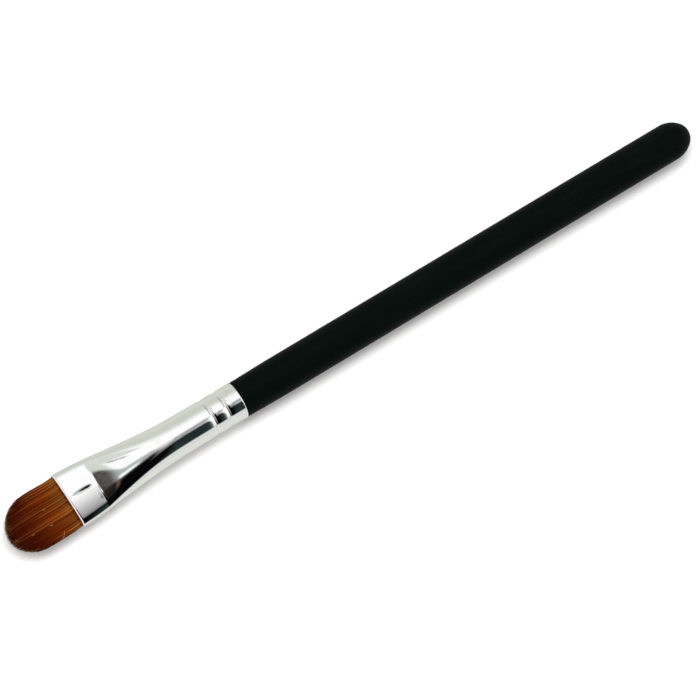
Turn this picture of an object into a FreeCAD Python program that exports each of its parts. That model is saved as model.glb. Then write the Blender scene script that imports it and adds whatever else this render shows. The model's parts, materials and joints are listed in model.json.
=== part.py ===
import FreeCAD
import Part
import Sketcher
import math
import os

# Eyeshadow brush, in millimetres. The brush lies along X with its hair towards -X and the flat of its
# ferrule level. Every station is counted along the axis from the tip of the hair towards the handle.

SIZES = [
    # Lengths along the axis
    ("tuft_length", 13.7, "hair in front of the mouth"),
    ("flat_length", 6.6, "mouth of the ferrule to the crease across it"),
    ("flare_length", 17.5, "crease to the round barrel"),
    ("barrel_length", 15.7, "round barrel to the rear rim"),
    ("handle_length", 112.0, "rear rim to the end of the handle"),
    # Handle
    ("handle_diameter", 8.0, "straight shank"),
    ("neck_step", 0.125, "ferrule's outside down to the handle where it leaves the ferrule"),
    ("neck_length", 8.0, "from the rim to the full diameter"),
    ("dome_length", 5.0, "rounded end"),
    ("dome_angle", 45.0, "degrees, where the two arcs of the dome meet"),
    ("lacquer_thickness", 0.15, "black coat"),
    ("tenon_gap", 0.8, "resin to the front of the tenon"),
    ("tenon_chamfer", 0.6, "front edge of the tenon"),
    # Ferrule
    ("ferrule_wall", 0.35, "sheet thickness"),
    ("barrel_diameter", 7.95, "round barrel"),
    ("crease_width", 11.2, "section at the crease"),
    ("crease_thickness", 4.4, "section at the crease"),
    ("mouth_width", 12.0, "section at the mouth"),
    ("mouth_thickness", 4.2, "section at the mouth"),
    ("apex_angle", 4.0, "degrees, half the arc of the facet at the round section"),
    ("flat_angle", 9.0, "degrees, half the arc of the flat faces"),
    ("lip_round", 0.12, "outer edge of the mouth"),
    ("rim_round", 0.12, "outer edge of the rear rim"),
    ("crimp_from_rim", 3.63, "rear rim to the rear crimp"),
    ("crimp_spacing", 3.24, "rear crimp to front crimp"),
    ("crimp_width", 1.2, "rolled groove"),
    ("crimp_depth", 0.22, "rolled groove"),
    # Fits
    ("fit_clearance", 0.02, "between pieces that are fixed to each other"),
    ("glue_thickness", 0.1, "film round the tenon"),
    ("swing_clearance", 0.15, "between the free hair and the held hair"),
    # Hair
    ("belly_width", 11.4, "free hair at the rear of its rounded tip"),
    ("belly_thickness", 3.9, "free hair at the rear of its rounded tip"),
    ("tip_round_length", 6.5, "rounded outline of the tip"),
    ("hinge_from_mouth", 2.3, "bending axis in front of the mouth"),
    ("flex_angle", 18.0, "degrees the free hair bends to either side"),
    ("tie_gap", 0.6, "last turn of thread to the resin"),
    ("tie_clearance", 0.1, "first turn of thread to the ferrule"),
    ("thread_diameter", 0.45, "binding thread"),
    ("thread_pitch", 0.9, "binding thread"),
    ("thread_turns", 5, "binding thread"),
    ("resin_grip", 3.2, "root ends set in resin"),
    ("resin_cover", 1.0, "resin behind the root ends"),
]

# Flare: shares of its length, of the gain in width, of the loss in thickness and of the change of arc angle.
FLARE_SHARES = [
    (0.0, 0.0, 0.0, 0.0),
    (0.15, 0.07, 0.03, 0.36),
    (0.38, 0.29, 0.17, 0.58),
    (0.70, 0.64, 0.52, 0.83),
    (1.0, 1.0, 1.0, 1.0),
]
# Flat: shares of its length and of the gain in width.
FLAT_SHARES = [(0.0, 0.0), (0.5, 0.68), (1.0, 1.0)]
# Tip of the hair: angles round the rounded outline, in degrees from its foremost point.
TIP_ANGLES = [9, 20, 32, 45, 60, 75, 90]
TIP_EDGE_SHARE = 0.7
ROUND_ANGLE = 45

doc = FreeCAD.newDocument("eyeshadow_brush")
sheet = doc.addObject("Spreadsheet::Sheet", "sizes")
for row, (name, size, note) in enumerate(SIZES, start=1):
    sheet.set(f"A{row}", name)
    sheet.set(f"B{row}", str(size))
    sheet.set(f"C{row}", note)
    sheet.setAlias(f"B{row}", name)
doc.recompute()


def cell(name):
    """Expression for one named size."""
    return f"{sheet.Name}.{name}"


def value(expression):
    """Number that an expression gives now."""
    return float(sheet.evalExpression(expression))


def half(expression):
    """Expression for half of another one."""
    return f"({expression}) / 2"


# Stations from the tip of the hair
MOUTH = cell("tuft_length")
CREASE = f"({MOUTH} + {cell('flat_length')})"
SHOULDER = f"({CREASE} + {cell('flare_length')})"
RIM = f"({SHOULDER} + {cell('barrel_length')})"
END = f"({RIM} + {cell('handle_length')})"
HINGE = f"({MOUTH} - {cell('hinge_from_mouth')})"
REAR_CRIMP = f"({RIM} - {cell('crimp_from_rim')})"
FRONT_CRIMP = f"({REAR_CRIMP} - {cell('crimp_spacing')})"

# Stations of what lies inside the ferrule, from the flare backwards
FIT = cell("fit_clearance")
TIE_LENGTH = f"({cell('thread_turns')} * {cell('thread_pitch')} + {cell('thread_diameter')})"
RESIN = f"({SHOULDER} + {FIT})"
TIE = f"({RESIN} - {cell('tie_gap')} - {TIE_LENGTH})"
ROOT_END = f"({RESIN} + {cell('resin_grip')})"
RESIN_END = f"({ROOT_END} + {cell('resin_cover')})"
TENON = f"({RESIN_END} + {cell('tenon_gap')})"

# Radii of the pieces that sit inside each other
BARREL_RADIUS = half(cell("barrel_diameter"))
BORE_RADIUS = f"({BARREL_RADIUS} - {cell('ferrule_wall')})"
GLUE_RADIUS = f"({BORE_RADIUS} - {FIT})"
TENON_RADIUS = f"({GLUE_RADIUS} - {cell('glue_thickness')} - {FIT})"
GLUE_BORE_RADIUS = f"({TENON_RADIUS} + {FIT})"
THREAD_RADIUS = half(cell("thread_diameter"))
TIE_SHARE = f"(({SHOULDER} - {TIE}) / {cell('flare_length')})"
TIE_BORE_RADIUS = f"({BORE_RADIUS} - {TIE_SHARE} * ({BARREL_RADIUS} - {half(cell('crease_thickness'))}))"
STRAND_RADIUS = f"({TIE_BORE_RADIUS} - {cell('tie_clearance')} - {THREAD_RADIUS})"
WAIST_RADIUS = f"({STRAND_RADIUS} - {THREAD_RADIUS} - {FIT})"


def new_body(name):
    """Body whose axis lies at the height of the handle's radius, centred along X."""
    body = doc.addObject("PartDesign::Body", name)
    body.Label = name
    body.setExpression("Placement.Base.x", f"-{half(END)}")
    body.setExpression("Placement.Base.z", half(cell("handle_diameter")))
    return body


def new_sketch(body, name, role):
    """Sketch on one of the body's origin planes."""
    sketch = body.newObject("Sketcher::SketchObject", name)
    plane = next(f for f in body.Origin.OriginFeatures if f.Role == role)
    sketch.AttachmentSupport = [(plane, "")]
    sketch.MapMode = "FlatFace"
    return sketch


def bind(sketch, constraint, expression):
    """Add a dimension and bind it to an expression."""
    index = sketch.addConstraint(constraint)
    sketch.setExpression(f"Constraints[{index}]", expression)


def place_point(sketch, geometry, end, along, out):
    """Fix one sketch point by its distances along and out from the axis; out of None is on the axis."""
    bind(sketch, Sketcher.Constraint("DistanceX", -1, 1, geometry, end, value(along)), along)
    if out is None:
        sketch.addConstraint(Sketcher.Constraint("PointOnObject", geometry, end, -1))
    else:
        bind(sketch, Sketcher.Constraint("DistanceY", -1, 1, geometry, end, value(out)), out)


def arc_between(start, end, radius, bulge):
    """Arc from start to end, with its middle to the left of the way there (bulge 1) or the right (-1)."""
    chord = end - start
    middle = (start + end) / 2
    across = FreeCAD.Vector(-chord.y, chord.x, 0).normalize() * bulge
    back = math.sqrt(max(radius ** 2 - (chord.Length / 2) ** 2, 0))
    centre = middle - across * back
    first, last = (end, start) if bulge > 0 else (start, end)
    angles = [math.atan2(p.y - centre.y, p.x - centre.x) for p in (first, last)]
    circle = Part.Circle(centre, FreeCAD.Vector(0, 0, 1), radius)
    return Part.ArcOfCircle(circle, *angles)


def outline(sketch, corners):
    """Closed outline of lines and arcs.

    Each corner is (along, out, arc), where arc is None for a line to the next corner, or (radius, bulge).
    """
    points = [FreeCAD.Vector(value(a), value(o) if o else 0, 0) for a, o, _ in corners]
    ends = []
    for number, (_, _, arc) in enumerate(corners):
        start = points[number]
        end = points[(number + 1) % len(points)]
        if arc is None:
            ends.append((sketch.addGeometry(Part.LineSegment(start, end)), 1, 2))
        else:
            geometry = sketch.addGeometry(arc_between(start, end, value(arc[0]), arc[1]))
            ends.append((geometry, 2, 1) if arc[1] > 0 else (geometry, 1, 2))
    for number, (geometry, first, last) in enumerate(ends):
        following, next_first, _ = ends[(number + 1) % len(ends)]
        sketch.addConstraint(Sketcher.Constraint("Coincident", geometry, last, following, next_first))
    for (along, out, arc), (geometry, first, _) in zip(corners, ends):
        place_point(sketch, geometry, first, along, out)
        if arc is not None:
            bind(sketch, Sketcher.Constraint("Radius", geometry, value(arc[0])), arc[0])


def circle_outline(sketch, along, out, radius):
    """Circle about a point; out of None is on the axis."""
    centre = FreeCAD.Vector(value(along), value(out) if out else 0, 0)
    geometry = sketch.addGeometry(Part.Circle(centre, FreeCAD.Vector(0, 0, 1), value(radius)))
    place_point(sketch, geometry, 3, along, out)
    bind(sketch, Sketcher.Constraint("Radius", geometry, value(radius)), radius)


def turned(body, name, corners):
    """Solid of revolution about the brush axis."""
    sketch = new_sketch(body, f"{name}_profile", "XZ_Plane")
    outline(sketch, corners)
    feature = body.newObject("PartDesign::Revolution", name)
    feature.Profile = sketch
    feature.ReferenceAxis = (sketch, ["H_Axis"])
    feature.Angle = 360
    return feature


def oval(a, b, angle):
    """Arc radii and corner of an oval of four tangent arcs, half width a, half thickness b."""
    reach = f"(({a}) - ({b})) / (sin({angle}) + cos({angle}) - 1)"
    face_radius = f"({b}) + ({reach}) * cos({angle})"
    edge_radius = f"({b}) - ({reach}) * (1 - cos({angle}))"
    return face_radius, edge_radius, f"({face_radius}) * sin({angle})", f"({edge_radius}) * cos({angle})"


def oval_section(body, name, station, a, b, angle):
    """Sketch of an oval across the axis at a station."""
    sketch = new_sketch(body, name, "YZ_Plane")
    sketch.setExpression("AttachmentOffset.Base.z", station)
    face_radius, edge_radius, corner_y, corner_z = oval(a, b, angle)
    y, z = value(corner_y), value(corner_z)
    corners = [FreeCAD.Vector(sy * y, sz * z, 0) for sy, sz in ((1, 1), (-1, 1), (-1, -1), (1, -1))]
    for number in range(4):
        radius = value(face_radius if number % 2 == 0 else edge_radius)
        sketch.addGeometry(arc_between(corners[(number + 1) % 4], corners[number], radius, 1))
    for number in range(4):
        sketch.addConstraint(Sketcher.Constraint("Coincident", number, 2, (number + 1) % 4, 1))
    bind(sketch, Sketcher.Constraint("DistanceX", -1, 1, 0, 1, y), corner_y)
    bind(sketch, Sketcher.Constraint("DistanceY", -1, 1, 0, 1, z), corner_z)
    sketch.addConstraint(Sketcher.Constraint("Symmetric", 0, 1, 1, 1, -2))
    sketch.addConstraint(Sketcher.Constraint("Symmetric", 1, 1, 2, 1, -1))
    sketch.addConstraint(Sketcher.Constraint("Symmetric", 2, 1, 3, 1, -2))
    for number in range(4):
        radius = face_radius if number % 2 == 0 else edge_radius
        bind(sketch, Sketcher.Constraint("Radius", number, value(radius)), radius)
    return sketch


def loft(body, kind, name, sections, ruled=False):
    """Loft through sketches, added to or taken from the body."""
    feature = body.newObject(f"PartDesign::{kind}Loft", name)
    feature.Profile = sections[0]
    feature.Sections = sections[1:]
    feature.Ruled = ruled
    return feature


def crimped_line(radius, start, stop):
    """Corners of a line at one radius with both crimps, from its rear end forwards."""
    depth = cell("crimp_depth")
    width = cell("crimp_width")
    arc = (f"(({width}) ^ 2 / 4 + ({depth}) ^ 2) / (2 * {depth})", 1)
    corners = [(start, radius, None)]
    for crimp in (REAR_CRIMP, FRONT_CRIMP):
        corners.append((f"{crimp} + {half(width)}", radius, arc))
        corners.append((f"{crimp} - {half(width)}", radius, None))
    corners.append((stop, radius, None))
    return corners


def facing_back(corners):
    """The same corners in the opposite order, with each arc kept on its own side of the path."""
    arcs = [arc for _, _, arc in corners[:-1]]
    arcs.reverse()
    flipped = [None if arc is None else (arc[0], -arc[1]) for arc in arcs]
    ends = [(along, out) for along, out, _ in reversed(corners)]
    return [(*point, arc) for point, arc in zip(ends, [*flipped, None])]


# Section half sizes of the ferrule, from its outside inwards by a depth
def flare_half_sizes(shares, depth):
    """Station, half width, half thickness and arc angle of a flare section."""
    length_share, width_share, drop_share, angle_share = shares
    wide_half = half(cell("crease_width"))
    thin_half = half(cell("crease_thickness"))
    station = f"{SHOULDER} - {length_share} * {cell('flare_length')}"
    a = f"{BARREL_RADIUS} + {width_share} * ({wide_half} - {BARREL_RADIUS}) - ({depth})"
    b = f"{BARREL_RADIUS} + {drop_share} * ({thin_half} - {BARREL_RADIUS}) - ({depth})"
    angle = f"({cell('apex_angle')} + {angle_share} * ({cell('flat_angle')} - {cell('apex_angle')}))"
    return station, a, b, angle


def flat_half_sizes(shares, depth, short):
    """Station, half sizes and arc angle of a section from the crease to short of the mouth."""
    length_share, width_share = shares
    crease_a, crease_b = half(cell("crease_width")), half(cell("crease_thickness"))
    mouth_a, mouth_b = half(cell("mouth_width")), half(cell("mouth_thickness"))
    station = f"{CREASE} - {length_share} * ({cell('flat_length')} - {short})"
    a = f"{crease_a} + {width_share} * ({mouth_a} - {crease_a}) - ({depth})"
    b = f"{crease_b} + {length_share} * ({mouth_b} - {crease_b}) - ({depth})"
    return station, a, b, cell("flat_angle")


def ferrule_lofts(body, kind, prefix, depth, short):
    """Flare and flat of the ferrule, offset inwards by a depth, the flat ending short of the mouth."""
    flare = [oval_section(body, f"{prefix}_flare_{n}", *flare_half_sizes(s, depth))
             for n, s in enumerate(FLARE_SHARES)]
    loft(body, kind, f"{prefix}_flare", flare)
    flat = [oval_section(body, f"{prefix}_flat_{n}", *flat_half_sizes(s, depth, short))
            for n, s in enumerate(FLAT_SHARES)]
    loft(body, kind, f"{prefix}_flat", flat)
    return flat[-1]


def mouth_section(station, depth):
    """Section of the mouth at a station, offset inwards by a depth."""
    a = f"{half(cell('mouth_width'))} - ({depth})"
    b = f"{half(cell('mouth_thickness'))} - ({depth})"
    return station, a, b, cell("flat_angle")


# Handle: wooden core and lacquer
def handle_side(depth):
    """Corners of the handle's side from the rim to its end, offset inwards by a depth."""
    radius = f"({half(cell('handle_diameter'))} - ({depth}))"
    neck = f"({BARREL_RADIUS} - {cell('neck_step')} - ({depth}))"
    length = f"({cell('dome_length')} - ({depth}))"
    angle = cell("dome_angle")
    side_arc, end_arc, along, out = oval(length, radius, angle)
    dome = f"({END} - {cell('dome_length')})"
    return [
        (f"{RIM} + {FIT}", neck, None),
        (f"{RIM} + {cell('neck_length')}", radius, None),
        (dome, radius, (side_arc, 1)),
        (f"{dome} + {along}", out, (end_arc, 1)),
        (f"{END} - ({depth})", None, None),
    ]


handle_core = new_body("handle_core")
chamfer = cell("tenon_chamfer")
core_depth = f"{cell('lacquer_thickness')} + {FIT}"
tenon_side = facing_back(crimped_line(TENON_RADIUS, f"{RIM} + {FIT}", f"{TENON} + {chamfer}"))
turned(handle_core, "rod", [
    (TENON, None, None),
    (TENON, f"{TENON_RADIUS} - {chamfer}", None),
    *tenon_side,
    *handle_side(core_depth),
])

handle_lacquer = new_body("handle_lacquer")
lacquer_bore = facing_back(handle_side(cell("lacquer_thickness")))
turned(handle_lacquer, "coat", [*handle_side("0"), *lacquer_bore])

# Ferrule: crimped barrel, flare, flat and lip
ferrule = new_body("ferrule")
rim_round = cell("rim_round")
barrel_outside = crimped_line(BARREL_RADIUS, f"{RIM} - {rim_round}", SHOULDER)
barrel_inside = facing_back(crimped_line(BORE_RADIUS, RIM, SHOULDER))
turned(ferrule, "barrel", [
    (RIM, f"{BARREL_RADIUS} - {rim_round}", (rim_round, -1)),
    *barrel_outside,
    *barrel_inside,
])
lip_round = cell("lip_round")
lip_start = ferrule_lofts(ferrule, "Additive", "outer", "0", lip_round)
lip_end = oval_section(ferrule, "lip_end", *mouth_section(MOUTH, lip_round))
loft(ferrule, "Additive", "lip", [lip_start, lip_end], ruled=True)
ferrule_lofts(ferrule, "Subtractive", "inner", cell("ferrule_wall"), "0")

# Glue film round the tenon
handle_glue = new_body("handle_glue")
glue_inside = facing_back(crimped_line(GLUE_BORE_RADIUS, RIM, f"{TENON} + {chamfer}"))
turned(handle_glue, "film", [*crimped_line(GLUE_RADIUS, RIM, f"{TENON} + {chamfer}"), *glue_inside])

# Hair: the held part ends in a hollow in front of the mouth, in which the free part swings
HELD_DEPTH = f"({cell('ferrule_wall')} + {FIT})"
KNUCKLE_RADIUS = f"({half(cell('mouth_thickness'))} - {HELD_DEPTH})"
HOLLOW_RADIUS = f"({KNUCKLE_RADIUS} / cos({half(cell('flex_angle'))}) + {cell('swing_clearance')})"


def round_section(station):
    """Round section of the tied hair bundle at a station."""
    return station, WAIST_RADIUS, WAIST_RADIUS, ROUND_ANGLE


def cut_across(body, name, sketch):
    """Pocket through the whole width of the hair."""
    feature = body.newObject("PartDesign::Pocket", name)
    feature.Profile = sketch
    feature.SideType = "Symmetric"
    feature.setExpression("Length", f"2 * {cell('belly_width')}")


hair_root = new_body("hair_root")
held_sections = [
    mouth_section(HINGE, HELD_DEPTH),
    mouth_section(MOUTH, HELD_DEPTH),
    flat_half_sizes(FLAT_SHARES[0], HELD_DEPTH, "0"),
    round_section(f"{TIE} - {cell('thread_diameter')}"),
    round_section(ROOT_END),
]
held = [oval_section(hair_root, f"held_{n}", *section) for n, section in enumerate(held_sections)]
loft(hair_root, "Additive", "bundle", held, ruled=True)
hollow = new_sketch(hair_root, "hollow_profile", "XZ_Plane")
circle_outline(hollow, HINGE, None, HOLLOW_RADIUS)
cut_across(hair_root, "hollow", hollow)

hair_tuft = new_body("hair_tuft")


def tip_section(angle):
    """Section of the free hair at an angle round its rounded outline."""
    station = f"{cell('tip_round_length')} * (1 - cos({angle}))"
    a = f"{half(cell('belly_width'))} * sin({angle})"
    edge_share = f"({TIP_EDGE_SHARE} + (1 - {TIP_EDGE_SHARE}) * (1 - cos({angle})))"
    b = f"{half(cell('belly_thickness'))} * sin({angle}) * {edge_share}"
    return station, a, b, cell("flat_angle")


tuft_sections = [tip_section(angle) for angle in TIP_ANGLES]
tuft_sections.append(mouth_section(HINGE, HELD_DEPTH))
tuft_sections.append(mouth_section(f"{HINGE} + {KNUCKLE_RADIUS}", HELD_DEPTH))
free = [oval_section(hair_tuft, f"free_{n}", *section) for n, section in enumerate(tuft_sections)]
loft(hair_tuft, "Additive", "tongue", free)
knuckle = new_sketch(hair_tuft, "knuckle_profile", "XZ_Plane")
knuckle_reach = f"2 * {KNUCKLE_RADIUS}"
outline(knuckle, [
    (HINGE, KNUCKLE_RADIUS, (KNUCKLE_RADIUS, 1)),
    (f"{HINGE} + {KNUCKLE_RADIUS}", None, (KNUCKLE_RADIUS, 1)),
    (HINGE, f"-{KNUCKLE_RADIUS}", None),
    (HINGE, f"-{knuckle_reach}", None),
    (f"{HINGE} + {knuckle_reach}", f"-{knuckle_reach}", None),
    (f"{HINGE} + {knuckle_reach}", knuckle_reach, None),
    (HINGE, knuckle_reach, None),
])
cut_across(hair_tuft, "knuckle", knuckle)

# Thread wound round the bundle, and the resin behind it
binding_thread = new_body("binding_thread")
strand = new_sketch(binding_thread, "strand", "XZ_Plane")
circle_outline(strand, f"{TIE} + {THREAD_RADIUS}", STRAND_RADIUS, THREAD_RADIUS)
winding = binding_thread.newObject("PartDesign::AdditiveHelix", "winding")
winding.Profile = strand
winding.ReferenceAxis = (strand, ["H_Axis"])
winding.Mode = "pitch-turns-angle"
winding.setExpression("Pitch", cell("thread_pitch"))
winding.setExpression("Turns", cell("thread_turns"))

root_resin = new_body("root_resin")
turned(root_resin, "plug", [
    (RESIN, f"{WAIST_RADIUS} + {FIT}", None),
    (RESIN, GLUE_RADIUS, None),
    (RESIN_END, GLUE_RADIUS, None),
    (RESIN_END, None, None),
    (f"{ROOT_END} + {FIT}", None, None),
    (f"{ROOT_END} + {FIT}", f"{WAIST_RADIUS} + {FIT}", None),
])

doc.recompute()

bodies = [
    handle_core,
    handle_lacquer,
    ferrule,
    handle_glue,
    hair_root,
    hair_tuft,
    binding_thread,
    root_resin,
]

for item in doc.Objects:
    if "Invalid" in item.State or "Error" in item.State:
        raise RuntimeError(f"{item.Name} did not build: {item.State}")
for body in bodies:
    if body.Shape.isNull() or not body.Shape.isValid():
        raise RuntimeError(f"{body.Label} is not a valid solid")
os.makedirs("parts", exist_ok=True)
for body in bodies:
    shape = body.Shape
    box = shape.optimalBoundingBox(True, False)
    print(f"{body.Label}: {len(shape.Solids)} solid, {shape.Volume:.2f} mm3, {box}")
    shape.exportStep(f"parts/{body.Label}.step")
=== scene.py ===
"""Looks of the eyeshadow brush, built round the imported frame. Lengths are in metres, angles in degrees."""
import json
import logging
import math
import random
from dataclasses import dataclass, field
from enum import Enum
from typing import Callable, ClassVar, Sequence, Union

import bmesh
import bpy
import numpy as np
from mathutils import Matrix, Vector


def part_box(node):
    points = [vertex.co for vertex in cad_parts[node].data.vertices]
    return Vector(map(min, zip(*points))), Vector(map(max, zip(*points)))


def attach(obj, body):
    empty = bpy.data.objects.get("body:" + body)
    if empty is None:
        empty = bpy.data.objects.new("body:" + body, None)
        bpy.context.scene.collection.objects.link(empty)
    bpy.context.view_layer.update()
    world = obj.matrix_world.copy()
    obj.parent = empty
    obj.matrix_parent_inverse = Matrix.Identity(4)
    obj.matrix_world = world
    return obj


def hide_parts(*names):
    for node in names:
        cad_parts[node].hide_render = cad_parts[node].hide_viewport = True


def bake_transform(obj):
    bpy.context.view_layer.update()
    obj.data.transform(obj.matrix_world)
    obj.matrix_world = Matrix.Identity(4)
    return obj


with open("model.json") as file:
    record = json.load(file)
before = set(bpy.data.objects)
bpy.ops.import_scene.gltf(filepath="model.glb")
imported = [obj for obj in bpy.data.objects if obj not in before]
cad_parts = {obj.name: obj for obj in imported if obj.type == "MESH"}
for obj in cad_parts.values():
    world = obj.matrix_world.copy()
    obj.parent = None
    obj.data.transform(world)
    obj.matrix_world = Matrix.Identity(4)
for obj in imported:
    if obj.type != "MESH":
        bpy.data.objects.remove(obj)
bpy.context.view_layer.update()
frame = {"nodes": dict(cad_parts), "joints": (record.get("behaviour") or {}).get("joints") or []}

PHOTO_SIDE = 700
SEED = 20
MERGE_DISTANCE = 1e-8
POLE_MERGE_DISTANCE = 1e-7
QUARTER = 90.0
log = logging.getLogger("eyeshadow_brush")

Colour = tuple[float, float, float, float]
Span = tuple[float, float]


class Body(Enum):
    """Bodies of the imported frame."""

    BRUSH = "brush"
    TUFT = "tuft"


class Slot(Enum):
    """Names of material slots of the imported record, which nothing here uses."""

    LACQUER = "lacquer"
    METAL = "plated_metal"
    HAIR = "hair"


def grey(level: float) -> Colour:
    """Neutral colour of one level."""
    return (level, level, level, 1.0)


def smooth_share(share: float) -> float:
    """Smooth step from 0 to 1 of a share that may lie outside that range."""
    held = min(max(share, 0.0), 1.0)
    return held * held * (3.0 - 2.0 * held)


def math_operator(operation: str, swapped: bool = False) -> Callable[["Value", "Term"], "Value"]:
    """Operator of a value and another term that adds one Math node."""

    def operator(value: "Value", other: "Term") -> "Value":
        """Result of the Math node."""
        terms = (other, value) if swapped else (value, other)
        return value.math_node(operation, *terms)

    return operator


class Value:
    """Output socket of a node, whose operators add Math nodes to the same tree."""

    def __init__(self, graph: "Graph", socket: bpy.types.NodeSocket) -> None:
        """Wrap a socket of a graph."""
        self.graph = graph
        self.socket = socket

    def math_node(self, operation: str, *terms: "Term") -> "Value":
        """Math node of the given operation and terms."""
        return self.graph.node("ShaderNodeMath", {"operation": operation}, dict(enumerate(terms)))

    __add__ = __radd__ = math_operator("ADD")
    __sub__ = math_operator("SUBTRACT")
    __rsub__ = math_operator("SUBTRACT", swapped=True)
    __mul__ = __rmul__ = math_operator("MULTIPLY")
    __truediv__ = math_operator("DIVIDE")
    lower = math_operator("MINIMUM")
    upper = math_operator("MAXIMUM")

    def angle_over(self, other: "Value") -> "Value":
        """Angle in degrees whose tangent is this value over another."""
        return self.math_node("DEGREES", self.math_node("ARCTAN2", self, other))

    def slope_angle(self) -> "Value":
        """Angle in degrees whose sine is this value."""
        return self.math_node("DEGREES", self.math_node("ARCSINE", self))

    def step(self, start: "Term", stop: "Term") -> "Value":
        """Smooth step of this value, 0 at start and 1 at stop."""
        settings = {"interpolation_type": "SMOOTHSTEP"}
        return self.graph.node("ShaderNodeMapRange", settings, {"Value": self, 1: start, 2: stop})

    def fall(self, start: "Term", stop: "Term") -> "Value":
        """Smooth step of this value, 1 at start and 0 at stop."""
        return 1.0 - self.step(start, stop)

    def between(self, rise: Span, fall: Span) -> "Value":
        """Soft band that comes up over one span and goes down over another."""
        return self.step(*rise) * self.fall(*fall)


Term = Union[Value, float]


class Graph:
    """Node tree of a material or of the world."""

    MIX_SHARE, MIX_FIRST, MIX_SECOND, MIX_RESULT = 0, 6, 7, 2

    def __init__(self, owner: Union[bpy.types.Material, bpy.types.World]) -> None:
        """Empty the node tree of the material or world that gets the nodes."""
        owner.use_nodes = True
        self.tree = owner.node_tree
        self.tree.nodes.clear()

    def node(self, kind: str, settings: dict | None = None, inputs: dict | None = None, output=0) -> Value:
        """Add a node of any kind.

        Args:
            kind: Blender's name for the node type.
            settings: Properties to set first; "stops" are a ramp's positions and colours.
            inputs: Values or links of its input sockets, by name or number.
            output: Name or number of the output to return.

        Returns:
            The chosen output.
        """
        made = self.tree.nodes.new(kind)
        for name, setting in (settings or {}).items():
            if name == "stops":
                self._set_stops(made.color_ramp, setting)
            else:
                setattr(made, name, setting)
        for name, given in (inputs or {}).items():
            if isinstance(given, Value):
                self.tree.links.new(given.socket, made.inputs[name])
            else:
                made.inputs[name].default_value = given
        return Value(self, made.outputs[output])

    @staticmethod
    def _set_stops(ramp: bpy.types.ColorRamp, stops: Sequence[tuple[float, Colour]]) -> None:
        """Give a colour ramp its stops."""
        while len(ramp.elements) < len(stops):
            ramp.elements.new(1.0)
        for element, (place, colour) in zip(ramp.elements, stops):
            element.position = place
            element.color = colour

    def mix(self, share: Term, first: Union[Value, Colour], second: Union[Value, Colour]) -> Value:
        """Mix two colours, by the share of the second one."""
        settings = {"data_type": "RGBA", "blend_type": "MIX"}
        inputs = {self.MIX_SHARE: share, self.MIX_FIRST: first, self.MIX_SECOND: second}
        return self.node("ShaderNodeMix", settings, inputs, self.MIX_RESULT)

    def ramp(self, share: Value, *stops: tuple[float, Colour]) -> Value:
        """Colour ramp over a value."""
        return self.node("ShaderNodeValToRGB", {"stops": stops}, {0: share})

    def place(self, stretch: Sequence[float] = (1.0, 1.0, 1.0)) -> Value:
        """Object coordinates, stretched along each axis."""
        where = self.node("ShaderNodeTexCoord", output="Object")
        return self.node("ShaderNodeMapping", {}, {0: where, "Scale": stretch})

    def noise(self, where: Value, scale: float, detail: float = 2.0, rough: float = 0.5) -> Value:
        """Noise from 0 to 1 at a place."""
        inputs = {"Vector": where, "Scale": scale, "Detail": detail, "Roughness": rough}
        return self.node("ShaderNodeTexNoise", {}, inputs)

    def cells(self, where: Value, scale: float) -> Value:
        """Distance from the middle of the nearest of many cells."""
        return self.node("ShaderNodeTexVoronoi", {}, {"Vector": where, "Scale": scale}, "Distance")

    def attribute(self, name: str) -> Value:
        """Number stored on the mesh."""
        return self.node("ShaderNodeAttribute", {"attribute_name": name}, output="Fac")

    def bump(self, height: Value, distance: float, strength: float = 1.0) -> Value:
        """Normal of a bumped surface."""
        inputs = {"Height": height, "Distance": distance, "Strength": strength}
        return self.node("ShaderNodeBump", {}, inputs)

    def principled(self, inputs: dict) -> None:
        """Finish a material with one Principled surface."""
        self.output(self.node("ShaderNodeBsdfPrincipled", {}, inputs), "ShaderNodeOutputMaterial")

    def output(self, surface: Value, kind: str) -> None:
        """Add an output node and link its surface."""
        sink = self.tree.nodes.new(kind)
        self.tree.links.new(surface.socket, sink.inputs["Surface"])


class Finish:
    """A finish that makes one material."""

    name: str

    def material(self) -> bpy.types.Material:
        """Make the finish's material."""
        made = bpy.data.materials.new(self.name)
        self.paint(Graph(made))
        return made

    def paint(self, graph: Graph) -> None:
        """Add the finish's nodes to an empty tree."""
        raise NotImplementedError


@dataclass(frozen=True)
class SatinLacquer(Finish):
    """Black lacquer with a faint green cast, fine orange peel and a few specks of dust."""

    name: str = "satin_black_lacquer"
    black: Colour = (0.0010, 0.0030, 0.0024, 1.0)
    worn: Colour = (0.0022, 0.0046, 0.0040, 1.0)
    dust: Colour = (0.03, 0.034, 0.032, 1.0)
    cloud_scale: float = 900.0
    cell_scale: float = 420.0
    grain_scale: float = 700.0
    peel_scale: float = 2600.0
    peel_depth: float = 4e-6
    rough: float = 0.36

    def paint(self, graph: Graph) -> None:
        """Add the lacquer's nodes to an empty tree."""
        cloud = graph.noise(graph.place((0.12, 1.0, 1.0)), self.cloud_scale, 4.0, 0.6)
        colour = graph.mix(cloud.step(0.45, 0.75), self.black, self.worn)
        cells = graph.cells(graph.place(), self.cell_scale)
        grain = graph.noise(graph.place(), self.grain_scale, 0.0)
        speck = cells.fall(0.012, 0.03) * grain.step(0.62, 0.68)
        peel = graph.noise(graph.place(), self.peel_scale, 3.0, 0.5)
        graph.principled({
            "Base Color": graph.mix(speck, colour, self.dust),
            "Roughness": cloud * 0.16 + speck * 0.2 + self.rough,
            "Specular IOR Level": 0.03,
            "Normal": graph.bump(peel, self.peel_depth, 0.5),
        })


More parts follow.
